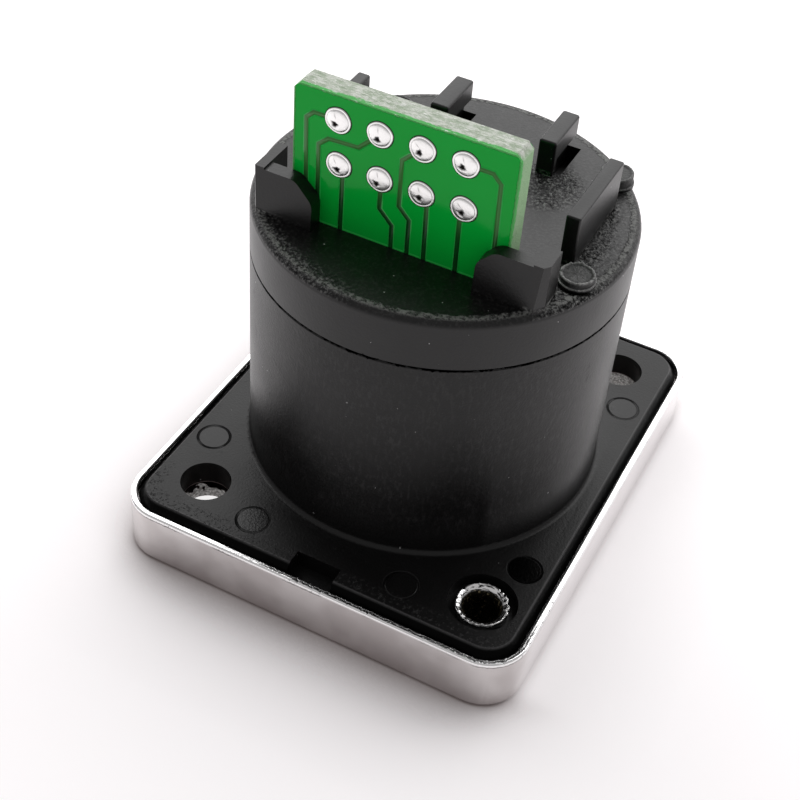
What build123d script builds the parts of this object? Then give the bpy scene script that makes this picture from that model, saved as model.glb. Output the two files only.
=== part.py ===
from build123d import *
import os
from math import cos, hypot, radians, sin

# Waterproof network panel socket of the square-flange kind, solder version, in millimetres.
# The socket lies on its front face. Z runs from the front face to the solder board.
# The origin is the middle of the flange, on its front face.

# Circuit board
BOARD_WIDTH = 13.4
BOARD_THICKNESS = 1.6
BOARD_OFFSET_X = -0.25
BOARD_FACE_Y = -6.1
BOARD_RISE = 8.6
BOARD_CHAMFER = 0.35

# Wire pads on the board
PAD_PITCH = 2.54
PAD_ROW_GAP = 2.8
PAD_TOP_MARGIN = 1.55
PAD_FIRST_X = 2.75
PAD_ROW_SHIFT = 0.15
PAD_R = 0.78
PAD_HOLE_R = 0.47
SOLDER_DOME = 0.34
SOLDER_BACK = 0.12

# Barrel of the housing
BOARD_CORNER_GAP = 0.75
BARREL_WALL = 1.55
BARREL_LENGTH = 15.1
BARREL_FILLET = 0.35
COLLAR_WALL = 1.4
COLLAR_SETBACK = 0.3
BORE_LEDGE = 0.5
RECESS_FLOOR = 1.5

# Bayonet grooves in the front bore
BAYONET_COUNT = 3
BAYONET_WIDTH = 3.2
BAYONET_DEPTH = 0.75
BAYONET_START = 3.8
BAYONET_HEIGHT = 2.2
BAYONET_TURN = 50

# Flange frame
FLANGE_MARGIN_X = 2.2
HOLE_SPACING_X = 19.0
HOLE_SPACING_Y = 24.0
HOLE_EDGE_Y = 4.15
FLANGE_CORNER_R = 2.75
RIM_HEIGHT = 4.1
RIM_WALL = 0.45
RIM_ROUND = 0.15
FACE_THICKNESS = 2.65
FACE_ROUND = 0.35
MOUNT_HOLE_R = 1.625
COUNTERSINK_R = 2.9

# Plate of the housing
PLATE_PROUD = 0.25
PLATE_CHAMFER = 0.5
PLATE_CHAMFER_DROP = 0.65
NOTCH_WIDTH = 3.0
NOTCH_DEPTH = 1.0
NOTCH_DROP = 1.2

# Hollow rivets
RIVET_X = 10.0
RIVET_Y = 11.95
RIVET_R = 1.5
RIVET_WALL = 0.25
RIVET_ROLL_R = 1.75
RIVET_ROLL_HEIGHT = 0.65
RIVET_RECESS_R = 2.15
RIVET_RECESS_DEPTH = 0.8
RIVET_HEAD_R = 2.3
RIVET_HEAD_HEIGHT = 0.5
RIVET_HEAD_SUNK = 0.1

# Jack body
JACK_STAND_OUT = 5.2
PORT_WIDTH = 11.9
PORT_HEIGHT = 6.8
PORT_DEPTH = 11.5
PORT_FLOOR = 1.1
LATCH_WIDTH = 6.2
LATCH_HEIGHT = 1.4
CATCH_WIDTH = 3.4
CATCH_HEIGHT = 1.3
JACK_WALL = 0.6
JACK_CORNER_CUT = 2.3
JACK_BACK = 0.9
COLLAR_STOP = 0.7
COLLAR_STOP_LENGTH = 1.2
PEG_R = 1.0
PEG_EDGE = 1.25
PEG_SETBACK = 2.4

# Contact wires
CONTACT_COUNT = 8
CONTACT_PITCH = 1.016
CONTACT_WIRE = 0.36
CONTACT_BEND = 0.4
CONTACT_LIFT = 2.3
CONTACT_REACH = 6.6
TAIL_SETBACK = 1.06
TAIL_ROW_GAP = 2.54
TAIL_STICK_OUT = 0.45
TAIL_HOLE_R = 0.45
TAIL_SOLDER_R = 0.62
TAIL_SOLDER_HEIGHT = 0.4
CARRIER_MARGIN = 0.6
CARRIER_NOSE = 0.4

# Seals
PLUG_SEAL_HEIGHT = 1.0
BOARD_GASKET_HEIGHT = 0.95
RING_WIDTH = 0.8
RING_HEIGHT = 0.7
RING_WALL = 0.35

# Rear cap
CAP_HEIGHT = 3.4
CAP_EDGE = 0.5
SPIGOT_LENGTH = 1.2
CAP_SPLIT_BEVEL = 0.1
BRACKET_HEIGHT = 3.05
BRACKET_STEP = 0.13
BRACKET_WALL = 0.9
BRACKET_LEAN = 0.25
BRACKET_POCKET = 1.3
BRACKET_ROUND = 0.9
# Each bracket: overlap over the board, width of its return, cut of its corner, reach to +Y.
BRACKET_LEFT = (1.6, 0.6, 1.2, 2.6)
BRACKET_RIGHT = (1.7, 0.86, 1.0, 1.9)
HOOK_LENGTH = 3.8
HOOK_HEIGHT = 2.35
HOOK_ROUND = 0.16
HOOK_UNDERCUT = 0.5
HOOK_HEAD = 1.3
HOOK_POCKET = 0.9
HOOK_POCKET_DEPTH = 1.2
HOOK_PLACES = ((-9.25, 2.2, 0.85), (-3.9, 5.2, 1.2), (3.35, 5.2, 1.12))
RIB_X = 8.05
RIB_START_Y = -2.2
RIB_WIDTH = 0.9
RIB_LENGTH = 6.65
RIB_HEIGHT = 3.2
RIB_ROUND = 0.12
STUD_R = 1.0
STUD_FOOT = 0.08
STUD_FOOT_HEIGHT = 0.18
STUD_PLACES = ((9.62, -3.28, 0.48), (8.0, 6.85, 0.7), (-6.7, 6.6, 0.5))

# Clearances between pieces
PRESS_GAP = 0.02
SLIP_GAP = 0.05
LOOSE_GAP = 0.1

# Levels along Z, from the front face upwards
PLATE_TOP = RIM_HEIGHT + PLATE_PROUD
SEAM = PLATE_TOP + BARREL_LENGTH
CAP_TOP = SEAM + CAP_HEIGHT
BOARD_TOP = CAP_TOP + BOARD_RISE
SPIGOT_END = SEAM - SPIGOT_LENGTH
GASKET_START = SPIGOT_END - SLIP_GAP - BOARD_GASKET_HEIGHT
JACK_END = GASKET_START - SLIP_GAP
PORT_END = JACK_END - JACK_BACK
JACK_FRONT = PORT_END - PORT_DEPTH
RECESS_DEPTH = JACK_FRONT + JACK_STAND_OUT
FLOOR_TOP = RECESS_DEPTH + RECESS_FLOOR
BOARD_END = FLOOR_TOP + LOOSE_GAP

# Radii about the Z axis
BOARD_HALF = BOARD_WIDTH / 2 + abs(BOARD_OFFSET_X)
CHAMBER_R = hypot(BOARD_HALF, BOARD_FACE_Y) + BOARD_CORNER_GAP
BARREL_R = CHAMBER_R + BARREL_WALL
BORE_R = CHAMBER_R - BORE_LEDGE
COLLAR_R = BORE_R + COLLAR_WALL
OPENING_R = COLLAR_R + LOOSE_GAP

# Outlines of the flange and the plate
FLANGE_WIDTH = 2 * (BARREL_R + FLANGE_MARGIN_X)
FLANGE_LENGTH = HOLE_SPACING_Y + 2 * HOLE_EDGE_Y
RIM_INSIDE_WIDTH = FLANGE_WIDTH - 2 * RIM_WALL
RIM_INSIDE_LENGTH = FLANGE_LENGTH - 2 * RIM_WALL
PLATE_WIDTH = RIM_INSIDE_WIDTH - 2 * LOOSE_GAP
PLATE_LENGTH = RIM_INSIDE_LENGTH - 2 * LOOSE_GAP
MOUNT_HOLES = [(-HOLE_SPACING_X / 2, -HOLE_SPACING_Y / 2), (HOLE_SPACING_X / 2, HOLE_SPACING_Y / 2)]
RIVET_HOLES = [(RIVET_X, -RIVET_Y), (-RIVET_X, RIVET_Y)]

# The board's back face, and the jack that sits on it
BOARD_BACK_Y = BOARD_FACE_Y + BOARD_THICKNESS
PEG_X = BOARD_WIDTH / 2 - abs(BOARD_OFFSET_X) - PEG_EDGE
PEG_Z = JACK_END - PEG_SETBACK
PORT_LOW_Y = BOARD_BACK_Y + PORT_FLOOR
PORT_HIGH_Y = PORT_LOW_Y + PORT_HEIGHT
LATCH_HIGH_Y = PORT_HIGH_Y + LATCH_HEIGHT
CATCH_HIGH_Y = LATCH_HIGH_Y + CATCH_HEIGHT
JACK_HALF = PORT_WIDTH / 2 + JACK_WALL
JACK_HIGH_Y = CATCH_HIGH_Y + JACK_WALL


def block(x0, x1, y0, y1, z0, z1):
    """A box between two corners."""
    size = Box(x1 - x0, y1 - y0, z1 - z0, align=(Align.MIN, Align.MIN, Align.MIN))
    return Pos(x0, y0, z0) * size


def disc(radius, z0, z1, x=0.0, y=0.0):
    """A round slug about a line along Z."""
    return Pos(x, y, z0) * Cylinder(radius, z1 - z0, align=(Align.CENTER, Align.CENTER, Align.MIN))


def slab(width, length, corner, z0, z1):
    """A flat plate with round corners."""
    return Pos(0, 0, z0) * extrude(RectangleRounded(width, length, corner), z1 - z0)


def turned(points):
    """A solid of revolution about Z from (radius, height) points."""
    outline = Polyline([(r, 0, z) for r, z in points], close=True)
    return revolve(make_face(outline), Axis.Z)


def tapered_edge(solid, level, run, drop):
    """Chamfer the outer edge of a plate at one level, run inwards and drop downwards."""
    edges = solid.edges().group_by(Axis.Z)[-1]
    top = [e for e in edges if abs(e.center().Z - level) < 1e-6]
    face = solid.faces().sort_by(Axis.Z)[-1]
    return chamfer(top, run, drop, reference=face)


def flange_frame():
    """Die-cast frame: a flat face with a round opening, and a thin upright rim about it."""
    body = slab(FLANGE_WIDTH, FLANGE_LENGTH, FLANGE_CORNER_R, 0, RIM_HEIGHT)
    body = fillet(body.edges().group_by(Axis.Z)[0], FACE_ROUND)
    inside_corner = FLANGE_CORNER_R - RIM_WALL
    body -= slab(RIM_INSIDE_WIDTH, RIM_INSIDE_LENGTH, inside_corner, FACE_THICKNESS, RIM_HEIGHT + 1)
    body = fillet(body.edges().group_by(Axis.Z)[-1], RIM_ROUND)
    body -= disc(OPENING_R, -1, FACE_THICKNESS + 1)
    sink = COUNTERSINK_R - MOUNT_HOLE_R
    for x, y in MOUNT_HOLES:
        body -= disc(MOUNT_HOLE_R, -1, FACE_THICKNESS + 1, x, y)
        cone = Cone(COUNTERSINK_R, MOUNT_HOLE_R, sink, align=(Align.CENTER, Align.CENTER, Align.MIN))
        body -= Pos(x, y, 0) * cone
    for x, y in RIVET_HOLES:
        body -= disc(RIVET_R + SLIP_GAP, -1, FACE_THICKNESS + 1, x, y)
        body -= disc(RIVET_HEAD_R + LOOSE_GAP, -1, RIVET_HEAD_SUNK + RIVET_HEAD_HEIGHT, x, y)
    return body


def bayonet_groove():
    """One L-shaped groove: straight in from the front, then a turn along the bore."""
    reach = BORE_R + BAYONET_DEPTH
    entry_turn = BAYONET_WIDTH / BORE_R
    entry = block(BORE_R - 1, reach, -BAYONET_WIDTH / 2, BAYONET_WIDTH / 2, 0, BAYONET_START + 1)
    ring = disc(reach, BAYONET_START, BAYONET_START + BAYONET_HEIGHT)
    turn = radians(BAYONET_TURN)
    far = 2 * reach
    start = -entry_turn / 2
    wedge_points = [(0, 0), (far * cos(start), far * sin(start)), (far * cos(turn), far * sin(turn))]
    wedge_face = make_face(Polyline(wedge_points, close=True))
    wedge = Pos(0, 0, BAYONET_START) * extrude(wedge_face, BAYONET_HEIGHT)
    return (entry & disc(reach, 0, BAYONET_START + 1)) + (ring & wedge)


def jack_outline(gap=0.0):
    """The jack's outside in plan, with its two upper corners cut, grown by a gap."""
    half = JACK_HALF + gap
    low = BOARD_BACK_Y - gap
    high = JACK_HIGH_Y + gap
    cut = JACK_CORNER_CUT
    points = [
        (-half, low),
        (half, low),
        (half, high - cut * 1.25),
        (half - cut, high),
        (-half + cut, high),
        (-half, high - cut * 1.25),
    ]
    return make_face(Polyline(points, close=True))


def jack_prism(gap, z0, z1):
    """The jack's outside between two levels."""
    return Pos(0, 0, z0) * extrude(jack_outline(gap), z1 - z0)


def housing():
    """Moulded plate and barrel in one, with the front bore, its floor and the rear chamber."""
    plate_corner = FLANGE_CORNER_R - RIM_WALL - LOOSE_GAP
    plate = slab(PLATE_WIDTH, PLATE_LENGTH, plate_corner, FACE_THICKNESS, PLATE_TOP)
    plate = tapered_edge(plate, PLATE_TOP, PLATE_CHAMFER, PLATE_CHAMFER_DROP)
    plate -= plate_notch()
    body = plate + disc(BARREL_R, FACE_THICKNESS, SEAM) + disc(COLLAR_R, COLLAR_SETBACK, FACE_THICKNESS)
    ring = [e for e in body.edges().filter_by(GeomType.CIRCLE)
            if abs(e.radius - BARREL_R) < 1e-6 and abs(e.center().Z - PLATE_TOP) < 1e-6]
    body = fillet(ring, BARREL_FILLET)
    body = chamfer(body.edges().group_by(Axis.Z)[-1], CAP_SPLIT_BEVEL)
    body -= disc(BORE_R, 0, RECESS_DEPTH)
    body -= disc(CHAMBER_R, FLOOR_TOP, SEAM + 1)
    body -= jack_prism(LOOSE_GAP, RECESS_DEPTH - 1, FLOOR_TOP + 1)
    body -= ring_groove()
    for number in range(BAYONET_COUNT):
        body -= Rot(0, 0, 90 + number * 360 / BAYONET_COUNT) * bayonet_groove()
    for x, y in MOUNT_HOLES:
        body -= disc(MOUNT_HOLE_R, FACE_THICKNESS - 1, PLATE_TOP + 1, x, y)
    for x, y in RIVET_HOLES:
        body -= disc(RIVET_R + SLIP_GAP, FACE_THICKNESS - 1, PLATE_TOP + 1, x, y)
        body -= disc(RIVET_RECESS_R, PLATE_TOP - RIVET_RECESS_DEPTH, PLATE_TOP + 1, x, y)
    return body


def plate_notch():
    """The notch in the middle of the plate's edge, beside the board's side."""
    inner = -(PLATE_LENGTH / 2 - PLATE_CHAMFER - NOTCH_DEPTH)
    half = NOTCH_WIDTH / 2
    return block(-half, half, -PLATE_LENGTH, inner, PLATE_TOP - NOTCH_DROP, PLATE_TOP + 1)


def ring_groove():
    """The groove for the square sealing ring, in the barrel's rear end."""
    outer = BARREL_R - RING_WALL
    depth = RING_HEIGHT - SLIP_GAP
    return disc(outer, SEAM - depth, SEAM + 1) - disc(outer - RING_WIDTH - 2 * SLIP_GAP, SEAM - depth, SEAM + 1)


def rear_seal_ring():
    """Square rubber ring between the barrel's rear end and the cap."""
    outer = BARREL_R - RING_WALL - SLIP_GAP
    low = SEAM - RING_HEIGHT + SLIP_GAP
    return disc(outer, low, SEAM) - disc(outer - RING_WIDTH, low - 1, SEAM + 1)


def rivet():
    """Hollow rivet: a flat head in the flange's face and an end rolled over in the plate."""
    bore = RIVET_R - RIVET_WALL
    low = RIVET_HEAD_SUNK
    shoulder = low + RIVET_HEAD_HEIGHT
    seat = PLATE_TOP - RIVET_RECESS_DEPTH
    top = seat + RIVET_ROLL_HEIGHT
    lip = (RIVET_ROLL_R - bore) / 3
    return turned([
        (bore, low), (RIVET_HEAD_R, low), (RIVET_HEAD_R, shoulder), (RIVET_R, shoulder),
        (RIVET_R, seat), (RIVET_ROLL_R, seat), (RIVET_ROLL_R, top - lip), (RIVET_ROLL_R - lip, top),
        (bore + lip, top), (bore, top - lip),
    ])


def contact_x(number):
    """Middle of one contact across the port."""
    return (number - (CONTACT_COUNT - 1) / 2) * CONTACT_PITCH


def tail_z(number):
    """Level of one contact's tail in the board: the tails stand in two rows."""
    return JACK_END - TAIL_SETBACK - (number % 2) * TAIL_ROW_GAP


def wire_y():
    """Middle of the straight run of a contact, in its carrier."""
    return PORT_LOW_Y - CONTACT_WIRE / 2 - SLIP_GAP


def contact(number):
    """Spring wire: tail through the board, straight run to the front, then back up into the port."""
    nose = JACK_FRONT + CARRIER_NOSE + CONTACT_BEND + CONTACT_WIRE
    tail = tail_z(number)
    run = wire_y()
    path = FilletPolyline([
        (BOARD_FACE_Y - TAIL_STICK_OUT, tail),
        (run, tail),
        (run, nose),
        (run + CONTACT_LIFT, nose + CONTACT_REACH),
    ], radius=CONTACT_BEND)
    strip = trace(path, CONTACT_WIRE)
    solid = extrude(strip, CONTACT_WIRE / 2, both=True)
    return Pos(contact_x(number), 0, 0) * (Plane.YZ * solid)


def contact_carrier():
    """Insulating comb on the board, with a slot for each contact wire."""
    half = contact_x(CONTACT_COUNT - 1) + CARRIER_MARGIN
    low = BOARD_BACK_Y + SLIP_GAP
    high = PORT_LOW_Y
    front = JACK_FRONT + CARRIER_NOSE
    back = tail_z(0) + CONTACT_WIRE + CARRIER_MARGIN
    body = block(-half, half, low, high, front, back)
    slot = CONTACT_WIRE / 2 + SLIP_GAP
    bed = wire_y() - slot
    for number in range(CONTACT_COUNT):
        x = contact_x(number)
        tail = tail_z(number)
        body -= block(x - slot, x + slot, bed, high + 1, front - 1, tail + slot)
        body -= block(x - slot, x + slot, low - 1, high + 1, tail - slot - CONTACT_BEND, tail + slot)
    return body


def jack_body():
    """Jack moulding with the port, its latch step and catch slot, a stop collar and two pegs."""
    body = jack_prism(0, JACK_FRONT, JACK_END)
    collar_low = FLOOR_TOP + SLIP_GAP
    collar = jack_prism(COLLAR_STOP, collar_low, collar_low + COLLAR_STOP_LENGTH)
    limit = 2 * BARREL_R
    body += collar & block(-limit, limit, BOARD_BACK_Y, limit, 0, JACK_END)
    body -= block(-PORT_WIDTH / 2, PORT_WIDTH / 2, PORT_LOW_Y, PORT_HIGH_Y, JACK_FRONT - 1, PORT_END)
    body -= block(-LATCH_WIDTH / 2, LATCH_WIDTH / 2, PORT_HIGH_Y - 1, LATCH_HIGH_Y, JACK_FRONT - 1, PORT_END)
    body -= block(-CATCH_WIDTH / 2, CATCH_WIDTH / 2, PORT_HIGH_Y - 1, CATCH_HIGH_Y, JACK_FRONT - 1, PORT_END)
    half = contact_x(CONTACT_COUNT - 1) + CARRIER_MARGIN + SLIP_GAP
    front = JACK_FRONT + CARRIER_NOSE - SLIP_GAP
    back = tail_z(0) + CONTACT_WIRE + CARRIER_MARGIN + SLIP_GAP
    body -= block(-half, half, BOARD_BACK_Y - 1, PORT_LOW_Y + 1, front, back)
    for x in (-PEG_X, PEG_X):
        body += peg(x, PEG_R, BOARD_BACK_Y + 0.5, BOARD_FACE_Y)
    return body


def peg(x, radius, y0, y1):
    """A round peg along Y, at the jack's pegs."""
    length = y0 - y1
    slug = Rot(90, 0, 0) * Cylinder(radius, length, align=(Align.CENTER, Align.CENTER, Align.MIN))
    return Pos(x, y0, PEG_Z) * slug


def pad_places():
    """Wire pads on the board: two rows, as (x, z)."""
    upper = BOARD_TOP - PAD_TOP_MARGIN
    first = BOARD_OFFSET_X - BOARD_WIDTH / 2 + PAD_FIRST_X
    places = []
    for row in range(2):
        for column in range(4):
            places.append((first + column * PAD_PITCH + row * PAD_ROW_SHIFT, upper - row * PAD_ROW_GAP))
    return places


def across_board(radius, x, z):
    """A round cutter through the board at (x, z)."""
    slug = Rot(90, 0, 0) * Cylinder(radius, 4 * BOARD_THICKNESS)
    return Pos(x, BOARD_FACE_Y, z) * slug


def circuit_board():
    """Upright board from the jack out through the cap, with its wire holes and tail holes."""
    left = BOARD_OFFSET_X - BOARD_WIDTH / 2
    right = left + BOARD_WIDTH
    body = block(left, right, BOARD_FACE_Y, BOARD_BACK_Y, BOARD_END, BOARD_TOP)
    body = chamfer(body.edges().filter_by(Axis.Y).group_by(Axis.Z)[-1], BOARD_CHAMFER)
    for x, z in pad_places():
        body -= across_board(PAD_HOLE_R, x, z)
    for number in range(CONTACT_COUNT):
        body -= across_board(TAIL_HOLE_R, contact_x(number), tail_z(number))
    for x in (-PEG_X, PEG_X):
        body -= across_board(PEG_R + SLIP_GAP, x, PEG_Z)
    return body


def solder_joint(x, z):
    """Solder in one wire hole: a round pad with a dome on the face and a low one behind."""
    core = PAD_HOLE_R - PRESS_GAP
    back = -BOARD_THICKNESS
    solid = turned([
        (0, back - SOLDER_BACK), (core, back), (core, 0), (PAD_R, 0),
        (PAD_R * 0.8, SOLDER_DOME * 0.6), (PAD_R * 0.4, SOLDER_DOME), (0, SOLDER_DOME),
    ])
    return Pos(x, BOARD_FACE_Y, z) * (Rot(90, 0, 0) * solid)


def tail_solder(number):
    """Solder cone about one contact's tail."""
    cone = Cone(TAIL_SOLDER_R, CONTACT_WIRE, TAIL_SOLDER_HEIGHT, align=(Align.CENTER, Align.CENTER, Align.MIN))
    half = CONTACT_WIRE / 2 + PRESS_GAP
    x = contact_x(number)
    z = tail_z(number)
    body = Pos(x, BOARD_FACE_Y, z) * (Rot(90, 0, 0) * cone)
    low = BOARD_FACE_Y - TAIL_SOLDER_HEIGHT
    return body - block(x - half, x + half, low - 1, BOARD_FACE_Y + 1, z - half, z + half)


def plug_seal():
    """Flat rubber seal on the floor of the front bore, about the jack."""
    ring = disc(BORE_R - SLIP_GAP, RECESS_DEPTH - PLUG_SEAL_HEIGHT, RECESS_DEPTH)
    return ring - jack_prism(SLIP_GAP, 0, FLOOR_TOP)


def board_slot(gap, z0, z1):
    """The slot that the board passes through."""
    left = BOARD_OFFSET_X - BOARD_WIDTH / 2 - gap
    right = BOARD_OFFSET_X + BOARD_WIDTH / 2 + gap
    return block(left, right, BOARD_FACE_Y - gap, BOARD_BACK_Y + gap, z0, z1)


def board_gasket():
    """Rubber disc behind the jack that seals about the board."""
    body = disc(CHAMBER_R - SLIP_GAP, GASKET_START, GASKET_START + BOARD_GASKET_HEIGHT)
    return body - board_slot(PRESS_GAP, 0, SEAM)


def along_x(points, x0, x1):
    """A prism along X from (y, z) points."""
    outline = make_face(Polyline(points, close=True))
    return Pos(x0, 0, 0) * (Plane.YZ * extrude(outline, x1 - x0))


def bracket(inside, side, cut, reach):
    """One corner bracket for the board's edge, on the side of +X: a front wall and a return."""
    inner = BOARD_WIDTH / 2 - inside
    outer = BOARD_WIDTH / 2 + abs(BOARD_OFFSET_X) + BRACKET_POCKET + side
    back = BOARD_FACE_Y - SLIP_GAP
    front = back - BRACKET_WALL
    foot = front - BRACKET_LEAN
    low = CAP_TOP - CAP_EDGE
    top = CAP_TOP + BRACKET_HEIGHT
    shoulder = top - BRACKET_STEP
    wall = along_x([(back, low), (foot, low), (front, shoulder), (back, shoulder)], inner, outer)
    corner = wall.edges().filter_by(Axis.Y).group_by(Axis.Z)[-1].sort_by(Axis.X)[0]
    wall = chamfer(corner, cut)
    bends = wall.edges().filter_by(Axis.Y).sort_by_distance((inner, back, shoulder))[:2]
    wall = fillet(bends, BRACKET_ROUND)
    far = front + reach
    profile = [(far, low), (foot, low), (front, shoulder), (front, top), (far, top)]
    return wall + along_x(profile, outer - side, outer)


def rounded_bar(x, y, width, length, height, radius):
    """An upright bar on the cap with its top and its upright edges rounded."""
    bar = block(x, x + width, y, y + length, CAP_TOP - CAP_EDGE, CAP_TOP + height)
    edges = bar.edges().filter_by(Axis.Z) + bar.edges().group_by(Axis.Z)[-1]
    return fillet(edges, radius)


def hook(x, y, width):
    """One narrow hook, with its head overhanging to +X."""
    body = rounded_bar(x, y, width, HOOK_LENGTH, HOOK_HEIGHT, HOOK_ROUND)
    under = x + width - HOOK_UNDERCUT
    free = y + HOOK_UNDERCUT
    head = CAP_TOP + HOOK_HEIGHT - HOOK_HEAD
    return body - block(under, x + width + 1, free, y + HOOK_LENGTH + 1, CAP_TOP, head)


def hook_pocket(x, y, width):
    """The pocket in the cap under one hook's overhang."""
    under = x + width - HOOK_UNDERCUT
    free = y + HOOK_UNDERCUT
    low = CAP_TOP - HOOK_POCKET_DEPTH
    return block(under, under + HOOK_POCKET, free, y + HOOK_LENGTH, low, CAP_TOP)


def stud(x, y, height):
    """One low round stud with a wider foot, left as the cap's ejector pins formed it."""
    low = CAP_TOP - CAP_EDGE
    foot = disc(STUD_R + STUD_FOOT, low, CAP_TOP + STUD_FOOT_HEIGHT, x, y)
    return foot + disc(STUD_R, low, CAP_TOP + height, x, y)


def rear_cap():
    """Rear cap: a rounded disc with a spigot, brackets, hooks, a rib and studs."""
    body = disc(BARREL_R, SEAM, CAP_TOP)
    body = fillet(body.edges().group_by(Axis.Z)[-1], CAP_EDGE)
    body = chamfer(body.edges().group_by(Axis.Z)[0], CAP_SPLIT_BEVEL)
    body += disc(CHAMBER_R - SLIP_GAP, SPIGOT_END, SEAM)
    brackets = bracket(*BRACKET_RIGHT) + mirror(bracket(*BRACKET_LEFT), Plane.YZ)
    reach = BARREL_R - CAP_EDGE / 2
    body += brackets & disc(reach, CAP_TOP - CAP_EDGE, CAP_TOP + BRACKET_HEIGHT)
    for x, y, width in HOOK_PLACES:
        body += hook(x, y, width)
        body -= hook_pocket(x, y, width)
    body += rounded_bar(RIB_X, RIB_START_Y, RIB_WIDTH, RIB_LENGTH, RIB_HEIGHT, RIB_ROUND)
    for x, y, height in STUD_PLACES:
        body += stud(x, y, height)
    return body - board_slot(SLIP_GAP, SPIGOT_END - 1, BOARD_TOP)


def all_parts():
    """Every piece by the name of its node."""
    parts = {
        "flange_frame": flange_frame(),
        "housing": housing(),
        "rear_cap": rear_cap(),
        "circuit_board": circuit_board(),
        "jack_body": jack_body(),
        "contact_carrier": contact_carrier(),
        "plug_seal": plug_seal(),
        "board_gasket": board_gasket(),
        "rear_seal_ring": rear_seal_ring(),
    }
    for number, (x, y) in enumerate(RIVET_HOLES, start=1):
        parts[f"hollow_rivet_{number}"] = Pos(x, y, 0) * rivet()
    for number, (x, z) in enumerate(pad_places(), start=1):
        parts[f"solder_joint_{number}"] = solder_joint(x, z)
    for number in range(CONTACT_COUNT):
        parts[f"contact_{number + 1}"] = contact(number)
        parts[f"tail_solder_{number + 1}"] = tail_solder(number)
    return parts


os.makedirs("parts", exist_ok=True)
for node, solid in all_parts().items():
    export_step(solid, f"parts/{node}.step")
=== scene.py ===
"""Waterproof network panel socket lying on its front face, seen from the solder side."""

import math
import random

import bmesh
import bpy
from mathutils import Matrix, Vector


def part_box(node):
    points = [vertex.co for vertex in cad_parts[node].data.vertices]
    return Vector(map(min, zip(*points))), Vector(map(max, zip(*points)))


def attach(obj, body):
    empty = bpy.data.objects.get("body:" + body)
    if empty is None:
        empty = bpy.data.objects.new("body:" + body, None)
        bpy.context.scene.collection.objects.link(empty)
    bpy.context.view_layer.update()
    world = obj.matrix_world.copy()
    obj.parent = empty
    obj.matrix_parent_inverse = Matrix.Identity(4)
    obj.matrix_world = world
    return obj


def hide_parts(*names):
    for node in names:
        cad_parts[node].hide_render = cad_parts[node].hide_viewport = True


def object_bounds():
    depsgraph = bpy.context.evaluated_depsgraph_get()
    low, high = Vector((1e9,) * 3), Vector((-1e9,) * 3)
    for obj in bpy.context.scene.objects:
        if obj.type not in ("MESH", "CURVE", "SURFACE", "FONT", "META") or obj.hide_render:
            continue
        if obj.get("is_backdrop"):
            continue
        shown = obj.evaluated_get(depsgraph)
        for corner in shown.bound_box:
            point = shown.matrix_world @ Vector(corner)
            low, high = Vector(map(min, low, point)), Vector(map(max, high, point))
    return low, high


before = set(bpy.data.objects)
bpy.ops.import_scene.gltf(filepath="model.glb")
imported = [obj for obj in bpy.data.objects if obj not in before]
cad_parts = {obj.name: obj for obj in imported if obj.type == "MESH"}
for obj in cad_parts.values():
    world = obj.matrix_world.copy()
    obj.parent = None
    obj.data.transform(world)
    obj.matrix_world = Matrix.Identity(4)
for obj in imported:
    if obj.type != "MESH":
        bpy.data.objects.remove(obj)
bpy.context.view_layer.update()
MM = 0.001


# Camera: it looks down on the solder side from the front right, a little rolled,
# with a long lens, as the photograph was taken.
camera_azimuth = math.radians(23.82)
camera_elevation = math.radians(43.11)
camera_roll = math.radians(5.10)
camera_place = Vector((27.71, -66.93, 74.01)) * MM
frame_pixels = 800
focal_pixels = 1495.4
sensor_width = 36.0

camera_data = bpy.data.cameras.new("camera")
camera_data.sensor_width = sensor_width
camera_data.lens = sensor_width * focal_pixels / frame_pixels
camera_data.clip_start = 1.0 * MM
camera_data.clip_end = 10.0
camera = bpy.data.objects.new("camera", camera_data)
bpy.context.scene.collection.objects.link(camera)
camera.matrix_world = (
    Matrix.Translation(camera_place)
    @ Matrix.Rotation(camera_azimuth, 4, "Z")
    @ Matrix.Rotation(math.pi / 2 - camera_elevation, 4, "X")
    @ Matrix.Rotation(camera_roll, 4, "Z")
)
bpy.context.scene.camera = camera


# Light: one broad soft box high behind the socket, and an even pale surround that
# fills the rest.
box_place = (-0.08, 0.28, 0.27)
box_width = 1.1
box_height = 0.36
box_brightness = 1.9
surround_colour = (1.0, 0.985, 0.99, 1.0)
surround_brightness = 0.42

lamp_data = bpy.data.lights.new("back_box", "AREA")
lamp_data.shape = "RECTANGLE"
lamp_data.size = box_width
lamp_data.size_y = box_height
lamp_data.energy = box_brightness * math.pi * box_width * box_height
lamp = bpy.data.objects.new("back_box", lamp_data)
bpy.context.scene.collection.objects.link(lamp)
lamp.location = box_place
lamp.rotation_mode = "QUATERNION"
lamp.rotation_quaternion = (-Vector(box_place)).to_track_quat("-Z", "Y")

world = bpy.data.worlds.new("surround")
world.use_nodes = True
background = world.node_tree.nodes["Background"]
background.inputs["Color"].default_value = surround_colour
background.inputs["Strength"].default_value = surround_brightness
bpy.context.scene.world = world
bpy.context.scene.view_settings.view_transform = "Standard"


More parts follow.
